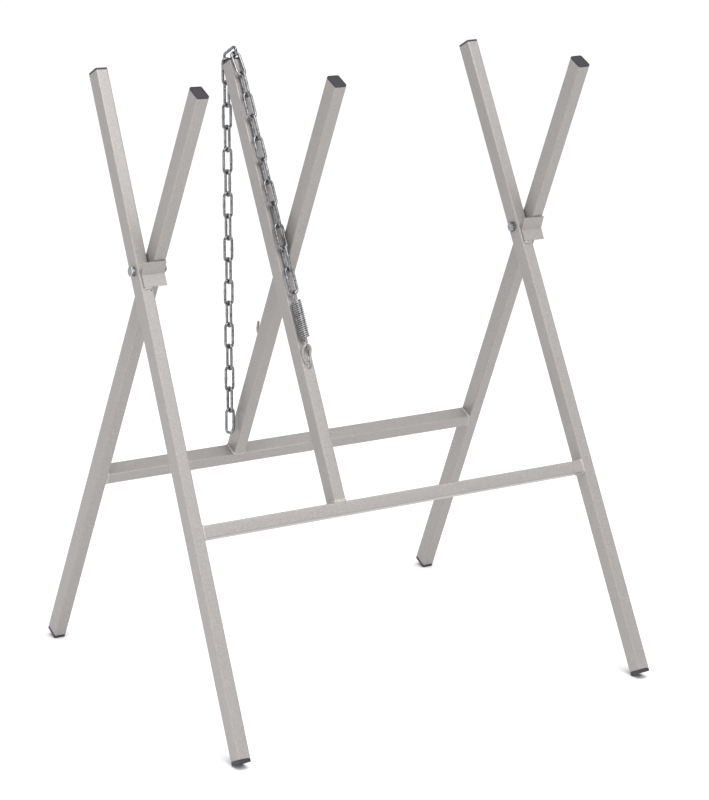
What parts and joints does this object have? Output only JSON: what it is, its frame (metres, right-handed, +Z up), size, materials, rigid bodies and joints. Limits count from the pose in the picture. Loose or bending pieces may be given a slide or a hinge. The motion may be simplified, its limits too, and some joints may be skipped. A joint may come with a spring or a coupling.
{
  "type": "folding sawhorse",
  "caption": "Folding sawhorse of rectangular steel tube: two crossed frames on pivot bolts, sheet stop brackets, plastic end caps and a sprung chain that ties down a log.",
  "frame": {"origin": "on the floor under the middle of the object's box", "axes": "+X along the rails to the right, -Y the front, +Z up"},
  "size_m": [0.6906, 0.6166, 0.8829],
  "materials": {
    "powder_coat": "satin silver-grey powder coat",
    "black_plastic": "moulded black plastic",
    "zinc_plate": "bright zinc plate"
  },
  "bodies": {
    "front_frame": {"chain_eye": "powder_coat", "chain_link_01": "zinc_plate", "chain_link_02": "zinc_plate", "chain_link_03": "zinc_plate", "chain_link_04": "zinc_plate", "chain_link_05": "zinc_plate", "chain_link_06": "zinc_plate", "chain_link_07": "zinc_plate", "chain_link_08": "zinc_plate", "chain_link_09": "zinc_plate", "chain_link_10": "zinc_plate", "chain_link_11": "zinc_plate", "chain_link_12": "zinc_plate", "chain_spring": "zinc_plate", "foot_cap_front_left": "black_plastic", "foot_cap_front_right": "black_plastic", "front_leg_left": "powder_coat", "front_leg_right": "powder_coat", "front_rail": "powder_coat", "front_strut": "powder_coat", "lock_nut_left": "zinc_plate", "lock_nut_right": "zinc_plate", "nut_washer_left": "zinc_plate", "nut_washer_right": "zinc_plate", "pivot_bolt_left": "zinc_plate", "pivot_bolt_right": "zinc_plate", "spacer_washer_left": "zinc_plate", "spacer_washer_right": "zinc_plate", "stop_bracket_left": "powder_coat", "stop_bracket_right": "powder_coat", "top_cap_front_left": "black_plastic", "top_cap_front_middle": "black_plastic", "top_cap_front_right": "black_plastic"},
    "rear_frame": {"chain_hook": "powder_coat", "foot_cap_rear_left": "black_plastic", "foot_cap_rear_right": "black_plastic", "rear_leg_left": "powder_coat", "rear_leg_right": "powder_coat", "rear_rail": "powder_coat", "rear_strut": "powder_coat", "top_cap_rear_left": "black_plastic", "top_cap_rear_middle": "black_plastic", "top_cap_rear_right": "black_plastic"},
    "chain_tail": {"chain_link_13": "zinc_plate", "chain_link_14": "zinc_plate", "chain_link_15": "zinc_plate", "chain_link_16": "zinc_plate", "chain_link_17": "zinc_plate", "chain_link_18": "zinc_plate", "chain_link_19": "zinc_plate", "chain_link_20": "zinc_plate", "chain_link_21": "zinc_plate", "chain_link_22": "zinc_plate", "chain_link_23": "zinc_plate", "chain_link_24": "zinc_plate", "chain_link_25": "zinc_plate", "chain_link_26": "zinc_plate", "chain_link_27": "zinc_plate", "chain_link_28": "zinc_plate", "chain_link_29": "zinc_plate"}
  },
  "joints": [
    {"name": "fold", "type": "hinge", "parent": "front_frame", "child": "rear_frame", "pos_m": [0, 0, 0.607], "axis": [-1, 0, 0], "range_deg": [0, 48]},
    {"name": "tail_swing", "type": "hinge", "parent": "front_frame", "child": "chain_tail", "pos_m": [-0.1059, 0.1391, 0.8643], "axis": [1, 0, 0], "range_deg": [-2, 25]}
  ]
}
